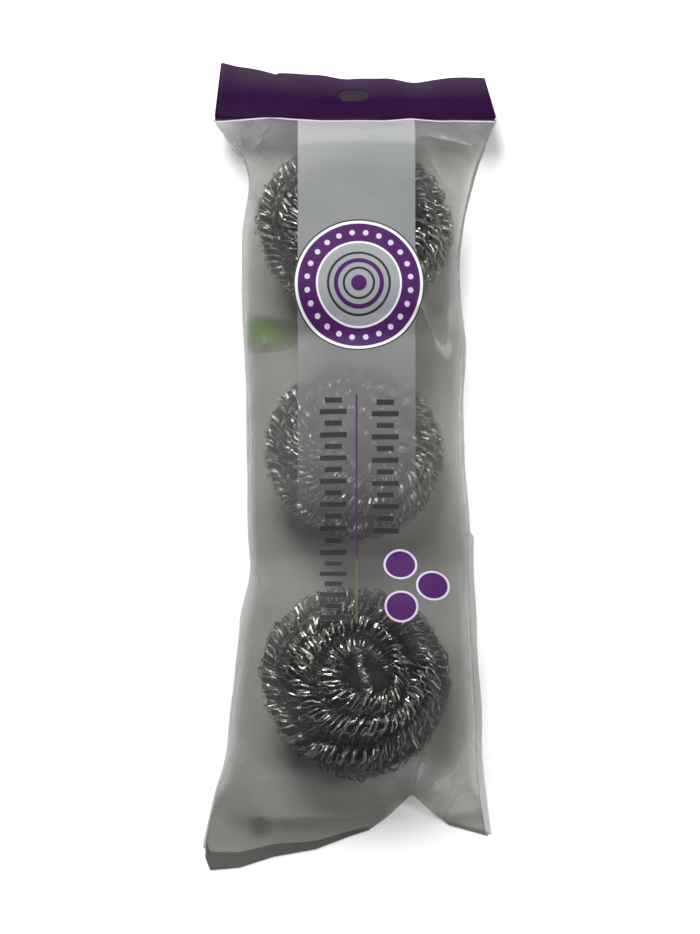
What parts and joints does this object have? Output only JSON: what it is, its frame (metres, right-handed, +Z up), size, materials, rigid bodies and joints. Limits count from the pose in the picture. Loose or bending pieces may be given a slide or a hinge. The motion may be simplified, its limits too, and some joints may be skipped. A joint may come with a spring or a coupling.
{
  "type": "pot scrubber pack",
  "caption": "Round wound steel pot scourers lying in a row in a long welded film bag with a folding header and an oval hang slot.",
  "frame": {"origin": "on the table under the middle of the pack's box", "axes": "+X across the bag to the right as seen from the front, +Y along the bag towards the header, +Z up out of the front"},
  "size_m": [0.1226, 0.3407, 0.0387],
  "materials": {
    "film": "frosted translucent film",
    "header": "printed purple film",
    "steel": "bright curled stainless ribbon"
  },
  "bodies": {
    "bag": {"front_film": "film", "back_film": "film", "left_side_weld": "film", "right_side_weld": "film", "header_weld": "film", "tail_crease": "film"},
    "header": {"header_front": "header", "header_back": "header"},
    "tail": {"tail_front": "film", "tail_back": "film", "bottom_weld_left": "film", "bottom_weld_right": "film"},
    "upper_scourer_body": {"upper_scourer": "steel"},
    "middle_scourer_body": {"middle_scourer": "steel"},
    "lower_scourer_body": {"lower_scourer": "steel"}
  },
  "joints": [
    {"name": "header_fold", "type": "hinge", "parent": "bag", "child": "header", "pos_m": [0.00145, 0.14981, 0.017], "axis": [1, 0, 0], "range_deg": [-50, 135], "stiffness_Nm_per_rad": 0.0002},
    {"name": "tail_fold", "type": "hinge", "parent": "bag", "child": "tail", "pos_m": [0.00145, -0.14514, 0.0005], "axis": [-1, 0, 0], "range_deg": [-90, 100], "stiffness_Nm_per_rad": 0.0002},
    {"name": "upper_shift", "type": "slide", "parent": "bag", "child": "upper_scourer_body", "axis": [0, 1, 0], "range_m": [-0.0035, 0.0015]},
    {"name": "middle_shift", "type": "slide", "parent": "bag", "child": "middle_scourer_body", "axis": [0, 1, 0], "range_m": [-0.003, 0.003]},
    {"name": "lower_shift", "type": "slide", "parent": "bag", "child": "lower_scourer_body", "axis": [0, 1, 0], "range_m": [-0.001, 0.0035]}
  ]
}
